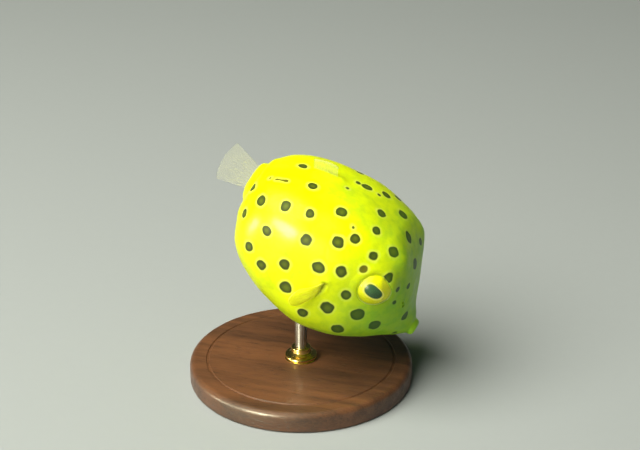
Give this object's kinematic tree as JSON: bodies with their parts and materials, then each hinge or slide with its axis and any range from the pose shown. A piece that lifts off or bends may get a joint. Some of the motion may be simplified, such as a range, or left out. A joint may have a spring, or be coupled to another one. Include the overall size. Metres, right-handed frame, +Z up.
{
  "type": "juvenile yellow boxfish model",
  "caption": "Life-size still model of a juvenile yellow boxfish with black spots, swimming nose-down on a round wooden display stand with a short steel rod.",
  "frame": {"origin": "centre of the flat underside of the stand's base, on the axis of the rod", "axes": "+Z up; the fish heads along +X with its nose down by 31 degrees; +Y is the fish's left; the part is symmetric about the XZ plane and narrowest along Y"},
  "size_m": [0.027, 0.026, 0.0288],
  "materials": {
    "skin": "smooth wet lemon-yellow skin over hard plates, with round olive-black spots in pale rings",
    "eye": "clear domed eye, gold-yellow iris and dark pupil",
    "fin": "thin clear membrane, faintly yellow, on fine rays",
    "stand_wood": "turned walnut, satin oiled",
    "stand_brass": "turned brass, polished",
    "stand_steel": "drawn stainless steel"
  },
  "bodies": {
    "root": {"head": "skin", "mouth": "skin", "trunk": "skin", "tail_stalk": "skin", "eye_left": "eye", "eye_right": "eye", "fin_dorsal": "fin", "fin_anal": "fin", "fin_tail": "fin", "fin_pectoral_left": "fin", "fin_pectoral_right": "fin", "stand_base": "stand_wood", "stand_collar": "stand_brass", "stand_rod": "stand_steel"}
  },
  "joints": []
}
